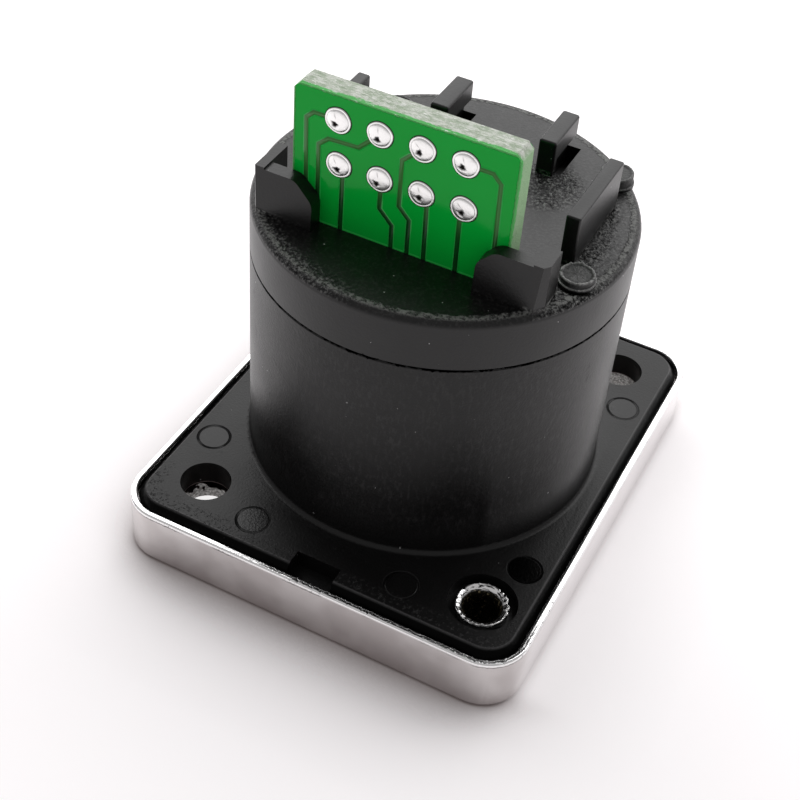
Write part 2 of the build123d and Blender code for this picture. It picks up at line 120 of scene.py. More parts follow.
# Floor: a sheet of pale matt paper, which goes white behind the socket and keeps its
# shadow in front.
class Value:
    """One value in a material. Python maths on it adds Math nodes."""

    def __init__(self, finish, socket):
        self.finish = finish
        self.socket = socket

    def math(self, operation, *others):
        inputs = dict(enumerate((self,) + others))
        return self.finish.node("ShaderNodeMath", {"operation": operation}, inputs)["Value"]

    def __add__(self, other):
        return self.math("ADD", other)

    def __mul__(self, other):
        return self.math("MULTIPLY", other)

    def __sub__(self, other):
        return self.math("SUBTRACT", other)

    def __rsub__(self, other):
        return self * -1 + other

    def __abs__(self):
        return self.math("ABSOLUTE")

    def largest(self, *others):
        """The largest of this value and some others."""
        value = self
        for other in others:
            value = value.math("MAXIMUM", other)
        return value

    def hypot(self, other):
        """The length of an offset that has these two sides."""
        return (self * self + other * other).math("SQRT")

    __radd__ = __add__
    __rmul__ = __mul__


class Finish:
    """A material that is built from nodes, around one Principled shader."""

    def __init__(self, name, colour, roughness, metallic=0.0):
        self.material = bpy.data.materials.new(name)
        self.material.use_nodes = True
        self.nodes = self.material.node_tree.nodes
        self.links = self.material.node_tree.links
        self.shader = self.nodes["Principled BSDF"]
        self.give("Base Color", colour)
        self.give("Roughness", roughness)
        self.give("Metallic", metallic)
        self.place = self.node("ShaderNodeTexCoord", {}, {})["Object"]
        axes = self.node("ShaderNodeSeparateXYZ", {}, {"Vector": self.place})
        self.x = axes["X"]
        self.y = axes["Y"]
        self.z = axes["Z"]

    def feed(self, socket, value):
        """Set one socket to a number or a colour, or link a value to it."""
        if isinstance(value, Value):
            self.links.new(value.socket, socket)
        elif isinstance(value, tuple) and len(value) == 3 and socket.type == "RGBA":
            socket.default_value = value + (1.0,)
        else:
            socket.default_value = value

    def give(self, name, value):
        """Set or link one socket of the shader."""
        self.feed(self.shader.inputs[name], value)

    def node(self, kind, settings, inputs):
        """Add a node with its settings and its inputs, and return its outputs by name."""
        made = self.nodes.new(kind)
        for name, value in settings.items():
            setattr(made, name, value)
        for name, value in inputs.items():
            if isinstance(name, int):
                self.feed(made.inputs[name], value)
                continue
            socket = [s for s in made.inputs if s.name == name and s.enabled][0]
            self.feed(socket, value)
        return {s.name: Value(self, s) for s in made.outputs if s.enabled}

    def factor(self, kind, settings, inputs):
        """Add a node and return its grey output, which has one of two names."""
        made = self.node(kind, settings, inputs)
        return made["Fac"] if "Fac" in made else made["Factor"]

    def noise(self, size, detail=2.0, roughness=0.5, stretch=None, place=None):
        """Soft random blotches of about one size, from 0 to 1."""
        place = place or self.place
        if stretch:
            place = self.node("ShaderNodeMapping", {}, {"Vector": place, "Scale": stretch})["Vector"]
        inputs = {"Vector": place, "Scale": 1 / size, "Detail": detail, "Roughness": roughness}
        return self.factor("ShaderNodeTexNoise", {"noise_dimensions": "3D"}, inputs)

    def attribute(self, name):
        """A value that the mesh holds at its corners."""
        return self.factor("ShaderNodeAttribute", {"attribute_name": name}, {})

    def step(self, value, low, high):
        """0 below one level and 1 above another, with a smooth rise between."""
        settings = {"interpolation_type": "SMOOTHSTEP"}
        inputs = {"Value": value, "From Min": low, "From Max": high}
        return self.node("ShaderNodeMapRange", settings, inputs)["Result"]

    def within(self, value, limit, blur):
        """1 where a value is below a limit and 0 above it, blurred by this much each way."""
        return self.step(value, limit + blur, limit - blur)

    def area(self, across, along):
        """1 in a corner of the plan, which begins between two places across and two along."""
        in_x = self.step(self.x, across[0] * MM, across[1] * MM)
        in_y = self.step(self.y, along[0] * MM, along[1] * MM)
        return in_x * in_y

    def from_place(self, across, along):
        """The distance in plan from one place."""
        return (self.x - across).hypot(self.y - along)

    def from_four(self, across, along):
        """The distance in plan from one place or the nearest of its three mirror images."""
        return (abs(self.x) - across).hypot(abs(self.y) - along)

    def mix(self, factor, first, second):
        """A colour between two others."""
        settings = {"data_type": "RGBA"}
        inputs = {"Factor": factor, "A": first, "B": second}
        return self.node("ShaderNodeMix", settings, inputs)["Result"]

    def bump(self, height, depth):
        """Raise the surface by a height, mostly from 0 to 1, times a depth in metres."""
        inputs = {"Height": height, "Distance": depth}
        self.give("Normal", self.node("ShaderNodeBump", {}, inputs)["Normal"])


def placed(name, mesh):
    """A new object in the scene, with this mesh."""
    made = bpy.data.objects.new(name, mesh)
    bpy.context.scene.collection.objects.link(made)
    return made


floor_half = 1.2
floor_level = -0.02 * MM
shadow_reach = 9.0 * MM
mounting_hole = (9.5 * MM, 12.0 * MM)
hole_radius = 3.0 * MM
hole_blur = 0.2 * MM
pure_black = (0.0, 0.0, 0.0)
shaded_paper = (0.40, 0.335, 0.325)
open_paper = (0.94, 0.922, 0.928)
paper_glow = (0.37, 0.355, 0.36)
paper_in_hole = (0.85, 0.84, 0.84)

# The paper's colour is painted darker where the socket shades it, a painted shadow, except beside its right
# side. The paper also glows for camera and glossy rays, a painted light that is dimmed in that shadow and
# grows towards the back, and under two mounting holes a patch glows bright for camera and diffuse rays, a
# painted light.
paper = Finish("pale_paper", (0.95, 0.935, 0.94), 0.9)
occlusion = paper.node("ShaderNodeAmbientOcclusion", {"samples": 8}, {"Distance": shadow_reach})["AO"]
ray = paper.node("ShaderNodeLightPath", {}, {})
lit_side = paper.area((12.0, 14.5), (-18.0, -13.0))
openness = paper.step(occlusion, 0.25, 1.0).largest(lit_side * 0.9)
reach = paper.step(paper.y - paper.x * 0.6, -45.0 * MM, 10.0 * MM)
seen = ray["Is Camera Ray"].largest(ray["Is Glossy Ray"])
glow = seen * openness * openness * (0.74 + reach * 0.24)
in_hole = paper.within(paper.from_four(*mounting_hole), hole_radius, hole_blur)
in_hole = in_hole * paper.step(paper.x * paper.y, 0.0, MM * MM)
in_hole = in_hole * ray["Is Camera Ray"].largest(ray["Is Diffuse Ray"])
paper.give("Base Color", paper.mix(openness, shaded_paper, open_paper))
paper.give("Emission Color", paper.mix(in_hole, paper.mix(glow, pure_black, paper_glow), paper_in_hole))
paper.give("Emission Strength", 1.0)
floor_mesh = bpy.data.meshes.new("floor")
floor_mesh.from_pydata(
    [(x * floor_half, y * floor_half, floor_level) for x, y in ((-1, -1), (1, -1), (1, 1), (-1, 1))],
    [],
    [(0, 1, 2, 3)],
)
floor = placed("floor", floor_mesh)
floor.data.materials.append(paper.material)
floor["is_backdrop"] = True


# Flange frame: a zinc die casting with bright nickel plating. Its thin rim stands
# round the black plate, with small nicks along its top.
sharp_edge = math.radians(35.0)
flat_joint = math.radians(0.5)
merge_distance = 0.0005 * MM


def skin(node, name, bevel=0.0):
    """A merged and smoothly shaded copy of a CAD piece. A bevel rounds its sharp edges."""
    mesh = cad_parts[node].data.copy()
    mesh.name = name
    mesh.materials.clear()
    shape = bmesh.new()
    shape.from_mesh(mesh)
    bmesh.ops.remove_doubles(shape, verts=shape.verts, dist=merge_distance)
    bmesh.ops.dissolve_limit(
        shape,
        angle_limit=flat_joint,
        verts=shape.verts,
        edges=shape.edges,
        delimit={"NORMAL"},
    )
    for face in shape.faces:
        face.smooth = True
    for edge in shape.edges:
        if len(edge.link_faces) == 2:
            edge.smooth = edge.calc_face_angle() < sharp_edge
    shape.to_mesh(mesh)
    shape.free()
    made = placed(name, mesh)
    if bevel:
        rounding = made.modifiers.new("rounding", "BEVEL")
        rounding.width = bevel
        rounding.segments = 2
        rounding.limit_method = "ANGLE"
        rounding.angle_limit = sharp_edge
        rounding.use_clamp_overlap = True
        rounding.harden_normals = True
    return made


def fit(made, finish, slot, *nodes):
    """Give a piece its material and body, and hide the CAD nodes that it stands for."""
    made.data.materials.append(finish.material)
    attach(made, "root")
    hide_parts(*nodes)


def outline(finish, half, corner):
    """The distance outwards from a rounded rectangle with these half sizes."""
    past_x = (abs(finish.x) - half[0] + corner).largest(0.0)
    past_y = (abs(finish.y) - half[1] + corner).largest(0.0)
    return past_x.hypot(past_y) - corner


frame_half = (13.75 * MM, 16.15 * MM)
frame_corner = 2.75 * MM
rim_foot = 3.80 * MM
rim_head = 3.95 * MM
rim_line = -0.22 * MM
rim_line_wander = 0.5 * MM
burr_level = 3.72 * MM
burr_height = 0.22 * MM
bore_radius = 1.76 * MM
bore_top = 2.6 * MM
lump_low = 0.90 * MM
lump_height = 2.6 * MM
dark_wear_and_reflection = (0.05, 0.05, 0.05)

nickel = Finish("bright_nickel", (0.86, 0.85, 0.85), 0.2, 1.0)
cloud = nickel.noise(3.0 * MM, 2.0, 0.5)
brushed = nickel.noise(0.30 * MM, 2.0, 0.6, (1.0, 1.0, 0.2))
chips = nickel.noise(0.20 * MM, 3.0, 0.75)
patchy = nickel.step(nickel.noise(2.5 * MM, 2.0, 0.5), 0.40, 0.62)

# The rim is painted brighter than the sides, a painted highlight. Small nicks and a burr
# below it break it up, and a thin dark line along its near corner is a painted reflection.
rim = nickel.step(nickel.z, rim_foot, rim_head)
nick = nickel.step(chips, 0.60, 0.66) * rim * patchy
burr_line = abs(nickel.z - burr_level - chips * burr_height)
burr = nickel.within(burr_line, 0.025 * MM, 0.010 * MM) * patchy
inset = outline(nickel, frame_half, frame_corner)
wander = (nickel.noise(0.32 * MM, 3.0, 0.75) - 0.5) * rim_line_wander
rim_reflection_line = nickel.within(abs(inset - rim_line + wander), 0.06 * MM, 0.025 * MM)
rim_reflection_line = rim_reflection_line * rim * nickel.area((-9.0, -1.0), (-11.0, -13.0))
nicks_burr_and_reflection = nick.largest(burr, rim_reflection_line)

# The plating is cloudy all over, with painted shade that greys the front side wall.
front = nickel.step(nickel.y, -12.0 * MM, -15.5 * MM) * nickel.step(inset, -0.50 * MM, -0.36 * MM)
plating = nickel.mix(cloud, (0.88, 0.86, 0.86), (0.80, 0.77, 0.775))
greyer = nickel.mix(nickel.step(cloud, 0.35, 0.65), (0.65, 0.62, 0.615), (0.54, 0.505, 0.50))
plating = nickel.mix(front, plating, greyer)
plating = nickel.mix(rim, plating, (0.95, 0.945, 0.945))
plating = nickel.mix(nicks_burr_and_reflection * 0.85, plating, dark_wear_and_reflection)

# In the mounting holes the plating is painted pale with darker chips below a lumpy line, a
# painted light, and black above it in the front holes, a painted shade.
bore = nickel.within(nickel.from_four(*mounting_hole), bore_radius, 0.04 * MM)
bore = bore * nickel.within(nickel.z, bore_top, 0.02 * MM)
lump_top = nickel.noise(1.1 * MM, 2.0, 0.6) * lump_height + lump_low
unlit = nickel.step(nickel.z - lump_top, -0.05 * MM, 0.05 * MM) * nickel.within(nickel.y, 0.0, 1.0 * MM)
painted_bore_light = nickel.mix(nickel.step(chips, 0.40, 0.60), (0.30, 0.29, 0.28), (0.85, 0.84, 0.83))
nickel.give("Base Color", nickel.mix(bore, plating, nickel.mix(unlit, painted_bore_light, pure_black)))
nickel.give("Metallic", 1 - bore * (1 - unlit))
nickel.give("Roughness", 0.20 + cloud * 0.05 - rim * 0.15)
nickel.bump(brushed * 0.10 + cloud * 0.4 - nicks_burr_and_reflection * 1.2, 0.012 * MM)
fit(skin("flange_frame", "flange_skin"), nickel, "nickel", "flange_frame")


# Housing: one charcoal moulding of glass-filled plastic, a plate that drops into the
# flange and the barrel that goes through the panel. Its surface is finely grained.
plate_top = 4.35 * MM
plate_half = (12.72 * MM, 15.12 * MM)
plate_corner = 1.75 * MM
ejector_places = ((11.2 * MM, 8.35 * MM), (5.2 * MM, 13.3 * MM))
ejector_radius = 1.05 * MM
ejector_uneven = 0.05 * MM
seam_level = 19.45 * MM
seam_half = 0.01 * MM
seam_spread = 0.07 * MM
seam_wander = 0.34 * MM
plastic_black = (0.0032, 0.003, 0.0031)


def seam_mark(finish):
    """The uneven black line between barrel and cap, with a few wider torn places."""
    ragged = finish.step(finish.noise(0.45 * MM, 3.0, 0.75), 0.32, 0.68)
    torn = finish.step(finish.noise(2.2 * MM, 2.0, 0.6), 0.52, 0.66)
    half = (ragged + torn * ragged) * seam_spread + seam_half
    wander = (finish.noise(0.7 * MM, 3.0, 0.7) - 0.5) * seam_wander
    line = abs(finish.z - seam_level - wander)
    fork = abs(finish.z - seam_level + wander * 1.5)
    split = finish.within(fork, 0.035 * MM, 0.015 * MM) * torn
    return finish.within(line - half, 0.01 * MM, 0.02 * MM).largest(split)


def plastic(finish, light, light_colour, dust_colour, shut):
    """Black plastic with lighter scuffs and painted highlights, grains of dust, and places
    painted black, which send no light back.
    """
    dust = finish.step(finish.noise(0.22 * MM, 0.0, 0.0), 0.885, 0.90)
    scuffs_and_highlights = finish.mix(light.math("MINIMUM", 1.0), plastic_black, light_colour)
    dusty = finish.mix(dust, scuffs_and_highlights, dust_colour)
    finish.give("Base Color", finish.mix(shut, dusty, pure_black))


charcoal = Finish("charcoal_moulding", plastic_black, 0.4)
grain = charcoal.noise(0.16 * MM, 3.0, 0.65)
haze = charcoal.noise(3.0 * MM, 3.0, 0.5)
scuff = charcoal.step(charcoal.noise(1.1 * MM, 4.0, 0.7), 0.60, 0.80)
uneven = charcoal.noise(0.4 * MM, 2.0, 0.6) * ejector_uneven
level = charcoal.within(abs(charcoal.z - plate_top), 0.075 * MM, 0.025 * MM)
past = outline(charcoal, plate_half, plate_corner)

# Round ejector marks on the plate. One is sunk and black, one is almost worn away.
disc = 0.0
ring = 0.0
for across, along in ejector_places:
    away = charcoal.from_four(across, along)
    disc = disc + charcoal.within(away, ejector_radius - 0.025 * MM, 0.025 * MM)
    ring = ring + charcoal.within(abs(away - ejector_radius) - uneven, 0.0525 * MM, 0.0225 * MM)
disc = disc * level
ring = ring * level
worn_away = charcoal.area((4.0, 4.8), (-12.0, -12.1))
sunk = disc * charcoal.area((9.0, 9.5), (0.0, -1.0)) * 0.8
drawn = 0.45 + charcoal.step(charcoal.noise(1.3 * MM), 0.42, 0.56) * 0.5
outlined = ring * drawn * (1 - worn_away)

# Paler places: a painted highlight along the plate's edge, its crumbly front, chips in the
# scuffs, and upright streaks on the barrel.
edge_highlight = charcoal.within(abs(past + grain * 0.06 * MM), 0.045 * MM, 0.025 * MM) * level
crumbly = charcoal.step(past, -1.3 * MM, -0.2 * MM) * charcoal.within(charcoal.y, -12.0 * MM, 1.0 * MM)
crumbs = charcoal.step(charcoal.noise(0.20 * MM, 3.0, 0.75), 0.56, 0.66) * crumbly * level
bits = charcoal.step(charcoal.noise(0.30 * MM, 4.0, 0.8), 0.66, 0.74) * scuff * level
on_barrel = charcoal.step(charcoal.z, plate_top + 1.0 * MM, plate_top + 3.0 * MM) * (1 - level)
streaks = charcoal.step(charcoal.noise(0.24 * MM, 3.0, 0.7, (1.0, 1.0, 0.4)), 0.45, 0.70)
streaks = streaks * on_barrel * haze
pale = edge_highlight * 0.6 + scuff * 0.08 + crumbs * 0.45 + bits * 0.6 + streaks * 0.30

# Places painted black, so that they send no light back: the seam, the gap beside the rim,
# which is a painted shade, and the marks above. Towards its foot the barrel is painted
# darker, a painted shade.
gap_side = charcoal.within(charcoal.z, plate_top - 0.09 * MM, 0.03 * MM)
gap_side = gap_side * charcoal.step(past, 0.02 * MM, 0.10 * MM) * 0.85
shut = seam_mark(charcoal).largest(gap_side, outlined, sunk)
foot_shade = charcoal.within(charcoal.z, 12.0 * MM, 5.0 * MM) * 0.7
foot_shade = foot_shade * charcoal.step(charcoal.z, plate_top + 0.5 * MM, plate_top + 4.5 * MM)
plastic(charcoal, pale, (0.07, 0.068, 0.070), (0.25, 0.25, 0.25), shut)
charcoal.give("Metallic", shut.largest(foot_shade))
charcoal.give("Specular IOR Level", 0.33)
dull = 0.28 + haze * 0.10 + grain * 0.06 + scuff * 0.14
charcoal.give("Roughness", dull - disc * (1 - worn_away * 0.8) * 0.16)
groove = ring * (1 - worn_away * 0.7)
charcoal.bump(grain * 0.8 + scuff * 0.6 + crumbs * 2.0 + bits * 3.0 - groove * 3.0, 0.02 * MM)
fit(skin("housing", "housing_skin"), charcoal, "black_plastic", "housing")


# Rear cap: the same plastic with a coarser spark-eroded grain on its flat top. It is
# bonded onto the barrel, and its brackets hold the board upright.
cap_top = 22.85 * MM
edge_radius = 11.05 * MM
edge_wander = 0.5 * MM
stud_place = (9.62 * MM, -3.28 * MM)
stud_radius = 1.1 * MM
hook_foot = (4.4 * MM, 4.2 * MM)

sparked = Finish("sparked_moulding", plastic_black, 0.45)
pits = sparked.noise(0.19 * MM, 2.0, 0.7)
crumbs = sparked.noise(0.24 * MM, 3.0, 0.7)
cloud = sparked.noise(2.0 * MM, 3.0, 0.6)
flat = sparked.within(abs(sparked.z - cap_top), 0.275 * MM, 0.075 * MM)
radius = sparked.x.hypot(sparked.y)

# The grain is coarsest in a band at the front left, right of the board and by a hook.
front_left = sparked.area((0.5, -2.5), (-5.5, -7.5))
outer_band = sparked.step(radius, 9.9 * MM, 10.7 * MM) * front_left * 0.6
smooth_rim = sparked.step(radius, 9.8 * MM, 10.4 * MM) * sparked.step(sparked.y, -3.8 * MM, -2.0 * MM)
right_side = sparked.step(sparked.x - abs(sparked.y) * 0.08, 8.0 * MM, 8.5 * MM) * (1 - smooth_rim * 0.75)
by_hook = sparked.within(sparked.from_place(*hook_foot), 2.3 * MM, 0.7 * MM)
patches = outer_band.largest(right_side, by_hook)
coarse = (patches * (0.55 + sparked.step(cloud, 0.35, 0.60) * 0.45) + 0.08) * flat

# A crumbly pale line runs along the rounded edge, a painted highlight, and a dark ring is
# painted about the near stud's foot on its front side, a painted shadow.
ragged_edge = abs(radius - edge_radius + (crumbs - 0.5) * edge_wander)
lip = sparked.within(ragged_edge, 0.19 * MM, 0.07 * MM) * flat
from_stud = sparked.from_place(*stud_place)
on_stud = sparked.within(from_stud, stud_radius - 0.05 * MM, 0.05 * MM)
stud_shadow = sparked.within(from_stud, stud_radius + 0.20 * MM, 0.06 * MM)
stud_shadow_side = (sparked.x - stud_place[0]) + (sparked.y - stud_place[1]) * 2.0
stud_shadow = stud_shadow * sparked.within(stud_shadow_side, 0.0, 0.5 * MM) * flat
# The coarse grain is painted with pale glints, a painted highlight, and with black pits, a painted shade.
glint = sparked.step(pits, 0.54, 0.62) * coarse
pit_shade = sparked.step(pits, 0.47, 0.40) * coarse * (1 - on_stud)
rounded_edge_highlight = lip * sparked.step(crumbs, 0.36, 0.60)
shut = seam_mark(sparked).largest(pit_shade, stud_shadow)
plastic(sparked, glint * 0.9 + rounded_edge_highlight, (0.16, 0.162, 0.155), (0.5, 0.5, 0.5), shut)
sparked.give("Metallic", shut)
sparked.give("Specular IOR Level", 0.42)
sparked.give("Roughness", 0.30 + cloud * 0.10 + coarse * 0.12 + lip * 0.2)
sparked.bump(pits * (0.35 + coarse * 3.0) + crumbs * lip * 2.0, 0.03 * MM)
fit(skin("rear_cap", "cap_skin"), sparked, "black_plastic", "rear_cap")


# Stud crowns: the studs' tops were pressed by the ejector pins, which left a torn lip about
# each top. The lip is painted paler, partly torn plastic and partly a painted highlight, and
# a thin pale line about each foot is a painted highlight. Same plastic as the cap.
stud_segments = 96
# Each stud is its place across and along, its height, and how torn it is. Each point of a
# profile is a radius, a rise and how pale it is.
studs = ((9.62, -3.28, 0.48, 1.0), (8.0, 6.85, 0.7, 0.35), (-6.7, 6.6, 0.5, 0.35))
foot_profile = (
    (1.10, 0.0, 0.0), (1.10, 0.12, 0.2), (1.095, 0.17, 1.0), (1.06, 0.19, 1.0), (1.01, 0.20, 0.0),
)
crown_profile = (
    (1.01, -0.10, 0.0), (1.01, -0.02, 0.1), (1.00, 0.04, 0.8), (0.96, 0.08, 1.0), (0.90, 0.08, 1.0),
    (0.85, 0.05, 0.4), (0.81, 0.015, 0.0), (0.70, 0.012, 0.15), (0.50, 0.014, 0.25), (0.30, 0.012, 0.2),
    (0.10, 0.014, 0.2),
)
loose_per_rise = 12
ruffle_counts = (2, 5, 9, 16, 27)
ruffle_out = 0.03
ruffle_up = 0.07
crown_black = (0.0035, 0.0035, 0.0035)
torn_grey_and_highlight = (0.34, 0.34, 0.335)


def join_rings(shape, rings, closed=False):
    """Faces between rings of corners. Its ends are capped, or joined to each other."""
    following = rings[1:] + rings[:1] if closed else rings[1:]
    for first, second in zip(rings, following):
        for step in range(len(first)):
            after = (step + 1) % len(first)
            shape.faces.new((first[step], first[after], second[after], second[step]))
    if not closed:
        shape.faces.new(rings[-1])
        shape.faces.new(reversed(rings[0]))


def smooth_piece(shape, name):
    """Turn a closed shape into a smoothly shaded piece with its faces outwards."""
    bmesh.ops.recalc_face_normals(shape, faces=shape.faces)
    for face in shape.faces:
        face.smooth = True
    mesh = bpy.data.meshes.new(name)
    shape.to_mesh(mesh)
    shape.free()
    return placed(name, mesh)


crown = Finish("stud_crown", crown_black, 0.45)
paleness = crown.attribute("paleness")
rough = crown.noise(0.20 * MM, 3.0, 0.7)
paleness = paleness * (0.45 + crown.step(rough, 0.40, 0.60) * 0.55)
crown.give("Base Color", crown.mix(paleness, crown_black, torn_grey_and_highlight))
crown.give("Roughness", 0.42 + rough * 0.15)
crown.bump(rough, 0.05 * MM)
chance = random.Random(5)
shape = bmesh.new()
pale_layer = shape.verts.layers.float.new("paleness")
for across, along, height, tear in studs:
    waves = [(count, chance.uniform(0, math.tau), chance.uniform(0.4, 1.0)) for count in ruffle_counts]
    sections = [(radius, rise, pale, 0.0) for radius, rise, pale in foot_profile]
    for radius, rise, pale in crown_profile:
        sections.append((radius, height + rise, pale, min(1.0, max(0.0, rise * loose_per_rise))))
    rings = []
    for radius, rise, pale, loose in sections:
        ring = []
        for step in range(stud_segments):
            turn = math.tau * step / stud_segments
            ruffle = sum(weight * math.sin(count * turn + start) for count, start, weight in waves) / 3
            out = (radius + loose * tear * ruffle_out * ruffle) * MM
            up = cap_top + (rise + loose * tear * ruffle_up * ruffle) * MM
            place = (across * MM + out * math.cos(turn), along * MM + out * math.sin(turn), up)
            corner = shape.verts.new(place)
            corner[pale_layer] = pale * (0.35 + 0.65 * tear) * min(1.0, 0.75 + 0.4 * ruffle)
            ring.append(corner)
        rings.append(ring)
    join_rings(shape, rings)
crown_piece = smooth_piece(shape, "stud_crowns")
crown_piece.data.materials.append(crown.material)
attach(crown_piece, "root")


# Circuit board: woven glass laminate with a green solder mask on both faces and bare,
# pale sawn edges. The copper tracks show darker through the mask.
board_left = -6.95 * MM
board_right = 6.45 * MM
board_top = 31.45 * MM
board_front = -6.1 * MM
board_back = -4.5 * MM
chip_depth = 0.16 * MM
green_dark = (0.001, 0.42, 0.035)
green_light = (0.002, 0.50, 0.055)
green_foot = (0.05, 0.66, 0.12)
green_seep = (0.12, 0.52, 0.14)

laminate = Finish("green_laminate", green_dark, 0.12)
tooth = laminate.noise(0.28 * MM, 3.0, 0.7)
weave = laminate.noise(0.34 * MM, 4.0, 0.75, (0.55, 1.6, 1.6))
shade = laminate.noise(4.0 * MM, 2.0, 0.5)

# The bare edge: all between the two masks, and small chips out of the mask beside it.
inset = (laminate.x - board_left).math("MINIMUM", board_right - laminate.x)
inset = inset.math("MINIMUM", board_top - laminate.z)
chipped = laminate.within(inset - tooth * chip_depth, 0.01 * MM, 0.02 * MM)
depth = (laminate.y - board_front).math("MINIMUM", board_back - laminate.y)
edge = laminate.step(depth, 0.02 * MM, 0.05 * MM).largest(chipped)

# The mask is lightest in a thin line at the foot. On the edge the green seeps in from the
# front, and the sawn glass is palest on top, with white flakes.
mask = laminate.mix(shade, green_dark, green_light)
foot = laminate.within(laminate.z, cap_top + 0.10 * MM, 0.04 * MM)
mask = laminate.mix(foot * 0.7, mask, green_foot)
on_top = laminate.step(laminate.z, board_top - 0.5 * MM, board_top - 0.1 * MM)
ragged = laminate.noise(0.6 * MM, 4.0, 0.8, (0.6, 2.0, 1.0))
seep_line = board_front - 0.16 * MM + ragged * 0.72 * MM
past_seep = laminate.step(laminate.y, seep_line, seep_line + 0.12 * MM)
mottle = laminate.step(laminate.noise(0.45 * MM, 4.0, 0.75, (0.7, 1.3, 1.3)), 0.38, 0.62)
glassy = laminate.mix(mottle, (0.42, 0.50, 0.38), (0.74, 0.77, 0.70))
sawn = laminate.mix(on_top, (0.40, 0.62, 0.36), glassy)
fibre = laminate.mix(past_seep, green_seep, sawn)
flake = laminate.step(weave, 0.58, 0.66)
pale = laminate.mix(flake * on_top, fibre, (0.92, 0.94, 0.90))
laminate.give("Base Color", laminate.mix(edge, mask, pale))
laminate.give("Roughness", 0.10 + edge * 0.55)
laminate.give("Specular IOR Level", 0.15)
laminate.bump(edge * weave, 0.12 * MM)
fit(skin("circuit_board", "board_skin"), laminate, "green_board", "circuit_board")


# Tracks: copper strips under the mask, one from each wire hole down to the jack. They
# stand a few hundredths of a millimetre proud of the board.
track_width = 0.27 * MM
track_height = 0.016 * MM
track_border = 0.07 * MM
track_end = 22.4
reflection_low = 24.6 * MM
reflection_high = 27.4 * MM
# Each track is a row of places on the board's front, across and up in millimetres.
tracks = (
    ((-4.2, 29.9), (-5.7, 29.9), (-6.15, 29.45), (-6.05, track_end)),
    ((-1.65, 29.9), (-2.9, 28.65), (-4.75, 28.55), (-5.35, 28.0), (-5.3, track_end)),
    ((-4.05, 27.1), (-3.8, 26.6), (-3.8, track_end)),
    ((-1.52, 27.1), (-1.42, 26.3), (-1.42, 25.2), (-0.6, 24.35), (-0.55, track_end)),
    ((0.88, 29.9), (-0.25, 28.8), (-0.25, 25.8), (0.42, 25.1), (0.45, track_end)),
    ((1.0, 27.1), (1.4, 26.6), (1.5, track_end)),
    ((3.5, 27.1), (3.4, 26.4), (3.45, track_end)),
    ((3.39, 29.9), (5.0, 29.9), (5.5, 29.4), (5.65, track_end)),
)


def track_tree(material):
    """A node tree that turns paths into flat strips."""
    tree = bpy.data.node_groups.new("track_strips", "GeometryNodeTree")
    tree.interface.new_socket("Paths", in_out="INPUT", socket_type="NodeSocketGeometry")
    width = tree.interface.new_socket("Width", in_out="INPUT", socket_type="NodeSocketFloat")
    height = tree.interface.new_socket("Height", in_out="INPUT", socket_type="NodeSocketFloat")
    tree.interface.new_socket("Strips", in_out="OUTPUT", socket_type="NodeSocketGeometry")
    add = tree.nodes.new
    link = tree.links.new
    start = add("NodeGroupInput")
    to_curve = add("GeometryNodeMeshToCurve")
    section = add("GeometryNodeCurvePrimitiveQuadrilateral")
    sweep = add("GeometryNodeCurveToMesh")
    sweep.inputs["Fill Caps"].default_value = True
    realize = add("GeometryNodeRealizeInstances")
    paint = add("GeometryNodeSetMaterial")
    paint.inputs["Material"].default_value = material
    end = add("NodeGroupOutput")
    link(start.outputs["Paths"], to_curve.inputs["Mesh"])
    link(start.outputs["Width"], section.inputs["Height"])
    link(start.outputs["Height"], section.inputs["Width"])
    link(to_curve.outputs["Curve"], sweep.inputs["Curve"])
    link(section.outputs["Curve"], sweep.inputs["Profile Curve"])
    link(sweep.outputs["Mesh"], realize.inputs["Geometry"])
    link(realize.outputs["Geometry"], paint.inputs["Geometry"])
    link(paint.outputs["Geometry"], end.inputs["Strips"])
    return tree, width.identifier, height.identifier


def settled(made):
    """Turn the result of a piece's node tree into its plain mesh."""
    graph = bpy.context.evaluated_depsgraph_get()
    result = bpy.data.meshes.new_from_object(made.evaluated_get(graph))
    made.modifiers.clear()
    made.data = result
    return made


path_points = []
path_edges = []
for track in tracks:
    for number, (across, up) in enumerate(track):
        path_points.append((across * MM, board_front, up * MM))
        if number:
            path_edges.append((len(path_points) - 2, len(path_points) - 1))


def strips(name, finish, width, height):
    """Flat strips of one width and height along the tracks' paths."""
    mesh = bpy.data.meshes.new(name)
    mesh.from_pydata(path_points, path_edges, [])
    piece = placed(name, mesh)
    tree, width_input, height_input = track_tree(finish.material)
    sweep = piece.modifiers.new("strips", "NODES")
    sweep.node_group = tree
    sweep[width_input] = width
    sweep[height_input] = height * 2
    settled(piece)
    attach(piece, "root")


masked = Finish("masked_copper", (0.004, 0.08, 0.012), 0.2)
uneven = masked.noise(0.6 * MM, 3.0, 0.6)
deep = masked.mix(uneven, (0.001, 0.045, 0.006), (0.004, 0.085, 0.014))
# Higher up, the tracks are painted lighter, a painted reflection.
painted_reflection = masked.step(masked.z, reflection_low, reflection_high)
masked.give("Base Color", masked.mix(painted_reflection, deep, (0.06, 0.225, 0.052)))
masked.give("Roughness", 0.16 + uneven * 0.12)
masked.give("Specular IOR Level", 0.25)
border = Finish("mask_border", (0.03, 0.56, 0.09), 0.15)
border.give("Base Color", border.mix(border.noise(0.8 * MM), (0.01, 0.50, 0.06), (0.04, 0.60, 0.11)))
border.give("Specular IOR Level", 0.25)
strips("track_borders", border, track_width + track_border * 2, track_height * 0.5)
strips("tracks", masked, track_width, track_height)


